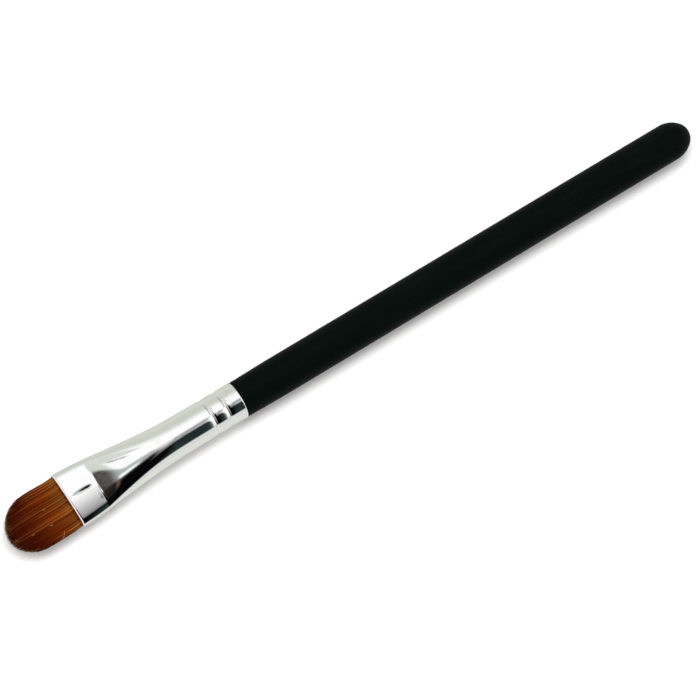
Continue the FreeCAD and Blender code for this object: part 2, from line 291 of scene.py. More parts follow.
@dataclass(frozen=True)
class BrightPlate(Finish):
    """Bright plating with fine polishing lines along the tube."""

    name: str = "bright_plate"
    clean: Colour = (0.935, 0.94, 0.935, 1.0)
    dull: Colour = (0.88, 0.885, 0.87, 1.0)
    line_scale: float = 5200.0
    line_depth: float = 2.5e-6
    cloud_scale: float = 260.0

    def paint(self, graph: Graph) -> None:
        """Add the plating's nodes to an empty tree."""
        lines = graph.noise(graph.place((0.04, 1.0, 1.0)), self.line_scale, 3.0, 0.6)
        cloud = graph.noise(graph.place(), self.cloud_scale, 3.0, 0.55)
        graph.principled({
            "Base Color": graph.mix(cloud.step(0.5, 0.8), self.clean, self.dull),
            "Metallic": 1.0,
            "Roughness": lines.step(0.4, 0.75) * 0.03 + cloud * 0.02 + 0.01,
            "Normal": graph.bump(lines, self.line_depth, 0.5),
        })


@dataclass(frozen=True)
class NaturalHair(Finish):
    """Red-brown natural hair, paler at its roots and with dark, gold-tipped ends, with a painted shadow
    where it leaves the lip and painted light and shade across the tuft.
    """

    name: str = "natural_hair"
    painted_lip_shadow: Colour = (0.12, 0.025, 0.004, 1.0)
    root: Colour = (0.235, 0.077, 0.010, 1.0)
    middle: Colour = (0.20, 0.034, 0.0012, 1.0)
    dark: Colour = (0.060, 0.005, 0.0005, 1.0)
    gold: Colour = (0.46, 0.20, 0.055, 1.0)
    fair: Colour = (0.38, 0.15, 0.038, 1.0)
    grain_scale: float = 9000.0

    def paint(self, graph: Graph) -> None:
        """Add the hair's nodes to an empty tree."""
        along = graph.attribute("along")
        tone = graph.attribute("tone")
        # The first stop is a painted shadow: the lip's shade on the hair just where it leaves the mouth.
        stops = (
            (0.0, self.painted_lip_shadow), (0.035, self.root), (0.30, self.middle),
            (0.78, self.dark), (1.0, self.dark),
        )
        shade = graph.ramp(along, *stops)
        # The tone carries painted light and shade as well as random tone: high tones go paler, low ones
        # darker, and the gold tips favour the lit +Y side.
        light = graph.mix(tone.step(0.6, 1.0) * (0.75 - along * 0.5), shade, self.fair)
        deep = graph.mix(tone.fall(0.0, 0.45) * 0.7, light, self.dark)
        tip = along.step(0.90, 0.98) * tone.step(0.45, 0.8)
        grain = graph.noise(graph.place((0.2, 1.0, 1.0)), self.grain_scale, 2.0)
        graph.principled({
            "Base Color": graph.mix(tip, deep, self.gold),
            "Roughness": grain * 0.2 + 0.4,
            "Specular IOR Level": 0.03,
        })


@dataclass(frozen=True)
class StrayHair(Finish):
    """Pale loose hair."""

    name: str = "stray_hair"
    pale: Colour = (0.62, 0.38, 0.19, 1.0)
    brown: Colour = (0.36, 0.14, 0.04, 1.0)
    grain_scale: float = 6000.0

    def paint(self, graph: Graph) -> None:
        """Add the loose hair's nodes to an empty tree."""
        along = graph.attribute("along")
        grain = graph.noise(graph.place(), self.grain_scale, 2.0)
        graph.principled({
            "Base Color": graph.mix(along, self.brown, self.pale),
            "Roughness": grain * 0.2 + 0.3,
            "Specular IOR Level": 0.4,
        })


@dataclass(frozen=True)
class SandedWood(Finish):
    """Sanded pale wood with grain along the rod."""

    name: str = "sanded_wood"
    pale: Colour = (0.62, 0.43, 0.25, 1.0)
    dark: Colour = (0.40, 0.24, 0.12, 1.0)
    ring_scale: float = 320.0
    ring_count: float = 26.0
    fibre_scale: float = 3800.0
    fibre_depth: float = 8e-6

    def paint(self, graph: Graph) -> None:
        """Add the wood's nodes to an empty tree."""
        warp = graph.noise(graph.place((0.08, 1.0, 1.0)), self.ring_scale, 4.0, 0.6)
        fibre = graph.noise(graph.place((0.03, 1.0, 1.0)), self.fibre_scale, 3.0)
        rings = warp * self.ring_count
        ring = rings.math_node("PINGPONG", rings, 1.0)
        share = ring * 0.6 + fibre * 0.4
        graph.principled({
            "Base Color": graph.mix(share, self.pale, self.dark),
            "Roughness": fibre * 0.2 + 0.55,
            "Normal": graph.bump(fibre, self.fibre_depth, 0.5),
        })


@dataclass(frozen=True)
class SetAdhesive(Finish):
    """Set glue or resin with clouds and small bubbles."""

    name: str
    clear: Colour
    cloudy: Colour
    rough: float
    cloud_scale: float = 900.0
    bubble_scale: float = 2400.0
    bubble_depth: float = 1e-5

    def paint(self, graph: Graph) -> None:
        """Add the adhesive's nodes to an empty tree."""
        cloud = graph.noise(graph.place(), self.cloud_scale, 3.0, 0.6)
        bubbles = graph.cells(graph.place(), self.bubble_scale)
        graph.principled({
            "Base Color": graph.mix(cloud, self.clear, self.cloudy),
            "Roughness": cloud * 0.2 + self.rough,
            "Normal": graph.bump(bubbles.step(0.0, 0.35), self.bubble_depth, 0.6),
        })


@dataclass(frozen=True)
class CottonThread(Finish):
    """Twisted undyed thread."""

    name: str = "cotton_thread"
    pale: Colour = (0.70, 0.64, 0.52, 1.0)
    shade: Colour = (0.46, 0.39, 0.28, 1.0)
    twist_scale: float = 1500.0
    fuzz_scale: float = 12000.0
    fuzz_depth: float = 2e-5

    def paint(self, graph: Graph) -> None:
        """Add the thread's nodes to an empty tree."""
        settings = {"wave_type": "BANDS", "bands_direction": "DIAGONAL"}
        inputs = {"Vector": graph.place(), "Scale": self.twist_scale, "Distortion": 1.5}
        twist = graph.node("ShaderNodeTexWave", settings, inputs)
        fuzz = graph.noise(graph.place(), self.fuzz_scale, 2.0)
        graph.principled({
            "Base Color": graph.mix(twist, self.shade, self.pale),
            "Roughness": fuzz * 0.1 + 0.8,
            "Normal": graph.bump(twist * 0.7 + fuzz * 0.3, self.fuzz_depth, 0.8),
        })


@dataclass(frozen=True)
class PaleFloor(Finish):
    """White sweep that keeps the shadow."""

    name: str = "pale_floor"
    seen: Colour = (1.0, 1.0, 1.0, 1.0)
    bounced: Colour = (0.63, 0.64, 0.61, 1.0)
    far_bounced: Colour = (0.55, 0.565, 0.525, 1.0)
    lift: float = 0.055
    mottle_scale: float = 40.0
    mottle_share: float = 0.01
    side_edge: Span = (-0.005, 0.005)

    def paint(self, graph: Graph) -> None:
        """Add the floor's nodes to an empty tree."""
        camera = graph.node("ShaderNodeLightPath", output="Is Camera Ray")
        mottle = graph.noise(graph.place(), self.mottle_scale, 2.0)
        side = graph.node("ShaderNodeSeparateXYZ", {}, {0: graph.place()}, 1)
        # Painted shade: the floor's +Y side is darker for bounced light, so the metal mirrors a darker floor
        # there.
        bounced = graph.mix(side.step(*self.side_edge), self.bounced, self.far_bounced)
        colour = graph.mix(camera, bounced, self.seen)
        fine = graph.mix(mottle * self.mottle_share, colour, self.bounced)
        matt = graph.node("ShaderNodeBsdfDiffuse", {}, {"Color": fine})
        glow = graph.node("ShaderNodeEmission", {}, {"Color": self.seen, "Strength": camera * self.lift})
        both = graph.node("ShaderNodeAddShader", {}, {0: matt, 1: glow})
        graph.output(both, "ShaderNodeOutputMaterial")


@dataclass(frozen=True)
class Layout:
    """Stations along X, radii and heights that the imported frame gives."""

    tip: float
    hinge: float
    mouth: float
    rim: float
    end: float
    root: float
    tie_front: float
    tie_rear: float
    axis_height: float
    barrel_radius: float
    mouth_half_width: float
    shank_radius: float
    tie_radius: float

    @classmethod
    def from_frame(cls) -> "Layout":
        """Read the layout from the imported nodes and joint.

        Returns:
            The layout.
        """
        ferrule_low, ferrule_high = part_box("ferrule")
        coat_low, coat_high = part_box("handle_lacquer")
        tie_low, tie_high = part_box("binding_thread")
        return cls(
            tip=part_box("hair_tuft")[0].x,
            hinge=frame["joints"][0]["pos_m"][0],
            mouth=ferrule_low.x,
            rim=ferrule_high.x,
            end=coat_high.x,
            root=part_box("hair_root")[1].x,
            tie_front=tie_low.x,
            tie_rear=tie_high.x,
            axis_height=(coat_low.z + coat_high.z) / 2,
            barrel_radius=(ferrule_high.z - ferrule_low.z) / 2,
            mouth_half_width=ferrule_high.y,
            shank_radius=(coat_high.z - coat_low.z) / 2,
            tie_radius=(tie_high.z - tie_low.z) / 2,
        )

    def on_axis(self, station: float) -> Vector:
        """Point of the brush's axis at a station."""
        return Vector((station, 0.0, self.axis_height))


@dataclass(frozen=True)
class Oval:
    """Section of tangent arcs across the axis: two faces, two folded edges and shoulders between them."""

    half_width: float
    half_thickness: float
    face_angle: float
    shoulder_angle: float = 0.0
    shoulder_radius: float = 0.0
    fold_stretch: float = 1.0
    MIDDLE_POWER: ClassVar[float] = 1.8

    @property
    def _turns(self) -> tuple[float, float]:
        """Angles from the middle of a face at which the face and the shoulder end."""
        return math.radians(self.face_angle), math.radians(max(self.shoulder_angle, self.face_angle))

    def _fold(self, angle: float) -> tuple[float, float]:
        """Distances from the outermost point of a fold of unit depth to where its normal has an angle."""
        turn = math.atan2(math.sin(angle), self.fold_stretch * math.cos(angle))
        return 1.0 - math.sin(turn), self.fold_stretch * math.cos(turn)

    @property
    def _radii(self) -> tuple[float, float]:
        """Radius of the face and depth of the folded edge that give the section its half sizes."""
        face, shoulder = self._turns
        across = self.half_width - self.shoulder_radius * (math.sin(shoulder) - math.sin(face))
        upwards = self.half_thickness - self.shoulder_radius * (math.cos(face) - math.cos(shoulder))
        level = 1.0 - math.cos(face)
        inward, rise = self._fold(shoulder)
        scale = math.sin(face) * rise - level * inward
        face_radius = (across * rise - upwards * inward) / scale
        return face_radius, (upwards * math.sin(face) - across * level) / scale

    def point(self, turn: float) -> tuple[float, float]:
        """Point whose outward normal is turned from +Y towards +Z.

        Args:
            turn: Angle of the normal in the first quarter, 0 to 90 degrees.

        Returns:
            Distances along Y and Z.
        """
        face, shoulder = self._turns
        face_radius, fold_depth = self._radii
        angle = math.radians(QUARTER - turn)
        if angle > shoulder:
            inward, rise = self._fold(angle)
            return self.half_width - fold_depth * inward, fold_depth * rise
        on_face = min(angle, face)
        bend = self.shoulder_radius
        y = face_radius * math.sin(on_face) + bend * (math.sin(angle) - math.sin(on_face))
        sunk = face_radius * (1.0 - math.cos(on_face)) + bend * (math.cos(on_face) - math.cos(angle))
        return y, self.half_thickness - sunk

    def quarter(self, edge_steps: int, face_steps: int, spread: float) -> list[tuple[float, float]]:
        """Points from the middle of an edge to just before the middle of a face.

        Args:
            edge_steps: Steps along half of the edge arc.
            face_steps: Steps along half of the face arc, closer together towards its middle.
            spread: Angle of the face that the face steps share out.

        Returns:
            The quarter's points.
        """
        edge_turn = QUARTER - spread
        turns = [edge_turn * step / edge_steps for step in range(edge_steps)]
        left = [1.0 - step / face_steps for step in range(face_steps)]
        turns += [QUARTER - spread * share ** self.MIDDLE_POWER for share in left]
        return [self.point(turn) for turn in turns]

    def ring(self, edge_steps: int, face_steps: int, spread: float) -> list[tuple[float, float]]:
        """Points of the whole section, anticlockwise from +Y seen from +X.

        Args:
            edge_steps: Steps along half of each edge arc.
            face_steps: Steps along half of each face arc.
            spread: Angle of the face that the face steps share out.

        Returns:
            The section's points.
        """
        first = self.quarter(edge_steps, face_steps, spread)
        second = [(0.0, self.half_thickness)] + [(-y, z) for y, z in reversed(first[1:])]
        third = [(-self.half_width, 0.0)] + [(-y, -z) for y, z in first[1:]]
        fourth = [(0.0, -self.half_thickness)] + [(y, -z) for y, z in reversed(first[1:])]
        return first + second + third + fourth


class RingLoft:
    """Closed ring that is extruded from section to section."""

    def __init__(self, points: Sequence[Vector]) -> None:
        """Start from a circle that is moved to the first section's points."""
        self.mesh = bmesh.new()
        made = bmesh.ops.create_circle(self.mesh, segments=len(points), radius=1.0)
        self.ring = sorted(made["verts"], key=lambda vert: math.atan2(vert.co.y, vert.co.x))
        self.first = list(self.ring)
        self._move(points)

    def _move(self, points: Sequence[Vector]) -> None:
        """Move the open ring to a section."""
        for vert, point in zip(self.ring, points):
            vert.co = point

    def _edges(self, ring: Sequence[bmesh.types.BMVert]) -> list[bmesh.types.BMEdge]:
        """Edges round a ring."""
        return [self.mesh.edges.get((vert, ring[number - 1])) for number, vert in enumerate(ring)]

    def extend(self, points: Sequence[Vector]) -> None:
        """Extrude the open ring to the next section, with its points in the same order."""
        made = bmesh.ops.extrude_edge_only(self.mesh, edges=self._edges(self.ring))
        fresh = {item for item in made["geom"] if isinstance(item, bmesh.types.BMVert)}
        self.ring = [
            next(other for edge in vert.link_edges if (other := edge.other_vert(vert)) in fresh)
            for vert in self.ring
        ]
        self._move(points)

    def close(self) -> bmesh.types.BMesh:
        """Join the last ring to the first one and turn the faces outwards."""
        bmesh.ops.bridge_loops(self.mesh, edges=self._edges(self.ring) + self._edges(self.first))
        bmesh.ops.recalc_face_normals(self.mesh, faces=self.mesh.faces)
        return self.mesh


def mesh_data(name: str, mesh: bmesh.types.BMesh) -> bpy.types.Mesh:
    """Turn a worked mesh into mesh data."""
    data = bpy.data.meshes.new(name)
    mesh.to_mesh(data)
    mesh.free()
    return data


def add_object(name: str, data: bpy.types.ID) -> bpy.types.Object:
    """Make an object at the origin and link it to the scene."""
    made = bpy.data.objects.new(name, data)
    bpy.context.scene.collection.objects.link(made)
    return made


def add_piece(name: str, data: bpy.types.Mesh, finish: Finish) -> bpy.types.Object:
    """Make a smooth-shaded object of mesh data that is in place, and dress it."""
    data.shade_smooth()
    data.materials.append(finish.material())
    made = add_object(name, data)
    data.calc_loop_triangles()
    log.info("%s: %d triangles", name, len(data.loop_triangles))
    return made


@dataclass
class Ferrule:
    """Plated tube: crimped barrel, flare, flat and rolled lip."""

    layout: Layout
    flat_length: float = 0.0066
    flare_length: float = 0.0175
    bend_from_crease: float = 0.0147
    bend_reach: float = 0.0052
    wall: float = 0.00035
    crease_half_width: float = 0.0056
    crease_half_thickness: float = 0.00186
    mouth_half_thickness: float = 0.0018
    mouth_set: float = 0.0002
    valley_depth: float = 0.00004
    valley_reach: float = 0.0007
    valley_half_width: float = 0.0042
    apex_angle: float = 4.0
    flat_angle: float = 10.0
    shoulder_angle: float = 38.0
    shoulder_radius: float = 0.0026
    fold_stretch: float = 1.8
    aside: float = 0.0002
    lip_length: float = 0.00044
    lip_drop: float = 0.00026
    rim_round: float = 0.00016
    crimp_from_rim: float = 0.00363
    crimp_spacing: float = 0.00324
    crimp_reach: float = 0.00030
    crimp_depth: float = 0.00019
    crease_skew: float = 0.02
    dent_depth: float = 0.00018
    dent_aside: float = -0.00005
    dent_reach: Span = (0.00015, 0.00045)
    dent_start: float = 0.0005
    dent_length: float = 0.0060
    edge_steps: int = 18
    face_steps: int = 26
    drop_power: float = 1.84
    flat_bulge: float = 0.72
    barrel_spread: float = 45.0
    dent_fade: Span = (0.7, 0.3)
    valley_power: int = 4
    valley_rear_part: float = 3.0
    stretch_power: int = 3
    crimp_margin: float = 0.0025
    crease_gap: float = 0.00012
    bore_start: float = 0.0001
    crimp_rings: int = 64
    barrel_rings: int = 16
    flare_rings: int = 50
    flat_rings: int = 34
    bore_rings: int = 40
    round_steps: int = 6

    @property
    def mouth(self) -> float:
        """Station of the mouth's lip."""
        return self.layout.mouth + self.mouth_set

    @property
    def crease(self) -> float:
        """Station of the crease."""
        return self.layout.mouth + self.flat_length

    @property
    def shoulder(self) -> float:
        """Station where the flare meets the round barrel."""
        return self.crease + self.flare_length

    @property
    def rear_crimp(self) -> float:
        """Station of the rear crimp."""
        return self.layout.rim - self.crimp_from_rim

    @property
    def front_crimp(self) -> float:
        """Station of the front crimp."""
        return self.rear_crimp - self.crimp_spacing

    def section(self, station: float) -> Oval:
        """Outside section at a station, before the lip and the rim are rounded.

        Args:
            station: Place along X.

        Returns:
            The section.
        """
        radius = self.layout.barrel_radius
        half_width = radius + self._widening(station) * (self.crease_half_width - radius)
        if station >= self.shoulder:
            dip = sum(self._crimp(station - crimp) for crimp in (self.front_crimp, self.rear_crimp))
            return Oval(half_width - dip, radius - dip, self.apex_angle, self.shoulder_angle, radius - dip)
        if station > self.crease:
            share = (self.shoulder - station) / self.flare_length
            angle = self.apex_angle + math.sqrt(share) * (self.flat_angle - self.apex_angle)
            drop = share ** self.drop_power * (radius - self.crease_half_thickness)
            bend = radius + share * (self.shoulder_radius - radius)
            stretch = 1.0 + share ** self.stretch_power * (self.fold_stretch - 1.0)
            return Oval(half_width, radius - drop, angle, self.shoulder_angle, bend, stretch)
        share = min((self.crease - station) / self.flat_length, 1.0)
        widen = share + self.flat_bulge * share * (1.0 - share)
        gain = self.layout.mouth_half_width - self.crease_half_width
        half_width = self.crease_half_width + widen * gain
        thinning = share * (self.crease_half_thickness - self.mouth_half_thickness)
        half_thickness = self.crease_half_thickness - thinning
        angles = self.flat_angle, self.shoulder_angle
        return Oval(half_width, half_thickness, *angles, self.shoulder_radius, self.fold_stretch)

    def _bend(self, station: float) -> float:
        """Width gained along the soft bend between the barrel and the straight sides of the flare."""
        ahead = self.crease + self.bend_from_crease - station
        return ahead + math.hypot(ahead, self.bend_reach)

    def _widening(self, station: float) -> float:
        """Share of the widening reached at a station, 0 at the rim and 1 at the crease."""
        start, stop = self._bend(self.layout.rim), self._bend(self.crease)
        return (self._bend(station) - start) / (stop - start)

    def _crimp(self, distance: float) -> float:
        """Depth of a crimp at a distance from its middle."""
        return self.crimp_depth / (1.0 + (distance / self.crimp_reach) ** 2)

    def _ring(self, station: float, inset: float) -> list[Vector]:
        """Points of the section at a station, moved inwards by an inset."""
        oval = self.section(station)
        inner = Oval(
            oval.half_width - inset, oval.half_thickness - inset, oval.face_angle,
            oval.shoulder_angle, oval.shoulder_radius - inset, oval.fold_stretch,
        )
        behind = smooth_share((station - self.shoulder) / self.flat_length)
        spread = inner.face_angle
        if station >= self.shoulder:
            spread += behind * (self.barrel_spread - inner.face_angle)
        axis = self.layout.axis_height
        return [
            self._worked(Vector((station, y, axis + z)))
            for y, z in inner.ring(self.edge_steps, self.face_steps, spread)
        ]

    def _worked(self, point: Vector) -> Vector:
        """Point moved by the flat's skew and set to one side, the valley along the crease and the dent."""
        height = point.z - self.layout.axis_height
        moved = point.copy()
        moved.x -= self.crease_skew * point.y * smooth_share((self.shoulder - point.x) / self.flare_length)
        moved.y += self.set_aside(point.x)
        if height > 0.0:
            inside = max(0.0, 1.0 - (point.y / self.valley_half_width) ** self.valley_power)
            rear_reach = self.flare_length / self.valley_rear_part
            reach = self.valley_reach if point.x < self.crease else rear_reach
            moved.z -= inside * self.valley_depth * math.exp(-abs(point.x - self.crease) / reach)
        ahead = (self.crease - self.dent_start - moved.x) / self.dent_length
        if height > 0.0 and 0.0 < ahead < 1.0:
            beside = point.y - self.dent_aside
            reach = self.dent_reach[1] if beside > 0.0 else self.dent_reach[0]
            rear, front = self.dent_fade
            fade = smooth_share((1.0 - ahead) / rear) * smooth_share(ahead / front)
            moved.z -= self.dent_depth * fade * math.exp(-(beside / reach) ** 2)
        return moved

    def set_aside(self, station: float) -> float:
        """How far a station of the pressed tube sits towards +Y."""
        return self.aside * smooth_share((self.shoulder - station) / self.flare_length)

    def _outside_stations(self) -> list[float]:
        """Stations of the outside, from the rear rim to the start of the lip."""
        rim = self.layout.rim - self.rim_round
        lip = self.mouth + self.lip_length
        plain = self.front_crimp - self.crimp_margin
        runs = (
            np.linspace(rim, plain, self.crimp_rings),
            np.linspace(plain, self.shoulder, self.barrel_rings)[1:],
            np.linspace(self.shoulder, self.crease + self.crease_gap, self.flare_rings)[1:],
            np.linspace(self.crease - self.crease_gap, lip, self.flat_rings),
        )
        return [float(station) for run in runs for station in run]

    def build(self) -> bpy.types.Object:
        """Loft the outside, the lip and the bore into one closed wall.

        Returns:
            The dressed ferrule.
        """
        rim, mouth = self.layout.rim, self.mouth
        steps = range(self.round_steps + 1)
        turns = [math.radians(QUARTER * step / self.round_steps) for step in steps]
        loft = RingLoft(self._ring(rim, self.wall))
        for turn in turns[:-1]:
            back = self.rim_round * (1.0 - math.cos(turn))
            loft.extend(self._ring(rim - back, self.rim_round * (1.0 - math.sin(turn))))
        for station in self._outside_stations():
            loft.extend(self._ring(station, 0.0))
        for turn in turns[1:]:
            ahead = mouth + self.lip_length * (1.0 - math.sin(turn))
            loft.extend(self._ring(ahead, self.lip_drop * (1.0 - math.cos(turn))))
        for station in np.linspace(mouth + self.bore_start, rim, self.bore_rings):
            loft.extend(self._ring(float(station), self.wall))
        made = add_piece("ferrule_tube", mesh_data("ferrule_tube", loft.close()), BrightPlate())
        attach(made, Body.BRUSH.value)
        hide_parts("ferrule")
        return made


@dataclass
class HandleCoat:
    """Lacquer coat of the handle: neck, straight shank and domed end."""

    layout: Layout
    neck_radius: float = 0.00385
    neck_length: float = 0.008
    neck_round: float = 0.00012
    dome_length: float = 0.005
    dome_angle: float = 45.0
    coat: float = 0.00015
    seat: float = 0.00002
    neck_soft: float = 0.12
    dome_steps: int = 28
    shank_steps: int = 12
    bend_steps: int = 8
    sides: int = 96

    def _side(self, depth: float) -> list[tuple[float, float]]:
        """Stations and radii from the end of the dome to the rim, offset inwards by a depth."""
        radius = self.layout.shank_radius - depth
        length = self.dome_length - depth
        start = self.layout.end - self.dome_length
        cap = Oval(length, radius, self.dome_angle)
        dome = [cap.point(QUARTER * step / self.dome_steps) for step in range(self.dome_steps + 1)]
        front = self.layout.rim + self.seat
        neck = self.layout.rim + self.neck_length
        shares = [step / self.shank_steps for step in range(1, self.shank_steps)]
        shank = [(start + (neck - start) * share, radius) for share in shares]
        behind = [0.5 - step / self.bend_steps for step in range(self.bend_steps + 1)]
        bend = [(neck + self.neck_length * share, self._neck_radius(share, depth)) for share in behind]
        rim_radius = self.neck_radius - depth
        edge = [(front + self.neck_round, rim_radius), (front, rim_radius - self.neck_round)]
        return [(start + x, r) for x, r in dome] + shank + bend + edge

    def _neck_radius(self, share: float, depth: float) -> float:
        """Radius near the end of the neck, by a share of its length behind (+) or ahead of (-) its end."""
        step = self.layout.shank_radius - self.neck_radius
        line = (share - math.hypot(share, self.neck_soft)) / 2.0
        return self.layout.shank_radius - depth + step * line

    def build(self) -> bpy.types.Object:
        """Spin the outside and the inside of the coat round the axis.

        Returns:
            The dressed coat.
        """
        outline = self._side(0.0) + list(reversed(self._side(self.coat)))
        mesh = bmesh.new()
        axis = self.layout.axis_height
        chain = [mesh.verts.new((x, 0.0, axis + radius)) for x, radius in outline]
        edges = [mesh.edges.new(pair) for pair in zip(chain, chain[1:])]
        bmesh.ops.spin(
            mesh, geom=chain + edges, cent=(0.0, 0.0, axis), axis=(1.0, 0.0, 0.0),
            angle=math.tau, steps=self.sides, use_merge=True,
        )
        bmesh.ops.remove_doubles(mesh, verts=mesh.verts, dist=POLE_MERGE_DISTANCE)
        bmesh.ops.recalc_face_normals(mesh, faces=mesh.faces)
        made = add_piece("handle_coat", mesh_data("handle_coat", mesh), SatinLacquer())
        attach(made, Body.BRUSH.value)
        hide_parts("handle_lacquer")
        return made


@dataclass
class Strand:
    """One hair: its line, its thickness at each point, and its tone with painted light and shade."""

    points: list[Vector]
    radii: list[float]
    along: list[float]
    tone: float


class StrandMesh:
    """Mesh of closed, tapered four-sided hairs."""

    SIDES: ClassVar[int] = 4
    MARGIN: ClassVar[float] = 0.15
    CELL_ASPECT: ClassVar[int] = 4

    def __init__(self, strands: Sequence[Strand]) -> None:
        """Keep the hairs, which all have the same number of points."""
        self.strands = strands
        self.rings = len(strands[0].points)

    def build(self, name: str) -> bpy.types.Mesh:
        """Bevel the hairs' lines into tubes and store each one's tone with painted light and shade.

        Args:
            name: Name of the mesh.

        Returns:
            The mesh, with a tone with painted light and shade, a place along the hair and a baking map.
        """
        mesh = self._tubes(name)
        rings = np.array([strand.along for strand in self.strands], np.float32)
        tone_and_light_values = np.array([strand.tone for strand in self.strands], np.float32)
        along = mesh.attributes.new("along", "FLOAT", "POINT")
        along.data.foreach_set("value", np.repeat(rings.ravel(), self.SIDES))
        tone = mesh.attributes.new("tone", "FLOAT", "POINT")
        tone.data.foreach_set("value", np.repeat(tone_and_light_values, self.rings * self.SIDES))
        self._map(mesh)
        worked = bmesh.new()
        worked.from_mesh(mesh)
        bmesh.ops.remove_doubles(worked, verts=worked.verts, dist=MERGE_DISTANCE)
        bmesh.ops.recalc_face_normals(worked, faces=worked.faces)
        worked.to_mesh(mesh)
        worked.free()
        return mesh

    def _tubes(self, name: str) -> bpy.types.Mesh:
        """Tubes round the hairs' lines, made by a bevelled curve."""
        curve = bpy.data.curves.new(name, "CURVE")
        curve.dimensions = "3D"
        curve.fill_mode = "FULL"
        curve.bevel_depth = 1.0
        curve.bevel_resolution = 0
        for strand in self.strands:
            spline = curve.splines.new("POLY")
            spline.points.add(self.rings - 1)
            places = [(*point, 1.0) for point in strand.points]
            spline.points.foreach_set("co", [number for place in places for number in place])
            spline.points.foreach_set("radius", [0.0, *strand.radii[1:-1], 0.0])
        holder = bpy.data.objects.new(name, curve)
        mesh = bpy.data.meshes.new_from_object(holder)
        bpy.data.objects.remove(holder)
        bpy.data.curves.remove(curve)
        return mesh

    def _map(self, mesh: bpy.types.Mesh) -> None:
        """Give each hair a cell of its own in the map that its colours are baked through."""
        for layer in list(mesh.uv_layers):
            mesh.uv_layers.remove(layer)
        layer = mesh.uv_layers.new(name="OFBake")
        corners = np.zeros(len(mesh.loops), np.int32)
        mesh.loops.foreach_get("vertex_index", corners)
        strand, inside = np.divmod(corners, self.rings * self.SIDES)
        ring, side = np.divmod(inside, self.SIDES)
        columns = math.ceil(math.sqrt(len(self.strands) * self.CELL_ASPECT))
        rows = math.ceil(len(self.strands) / columns)
        row, column = np.divmod(strand, columns)
        wide = 1.0 - 2.0 * self.MARGIN
        across = (column + self.MARGIN + wide * (side % 2)) / columns
        upwards = (row + self.MARGIN + wide * ring / (self.rings - 1)) / rows
        layer.data.foreach_set("uv", np.stack([across, upwards], 1).astype(np.float32).ravel())


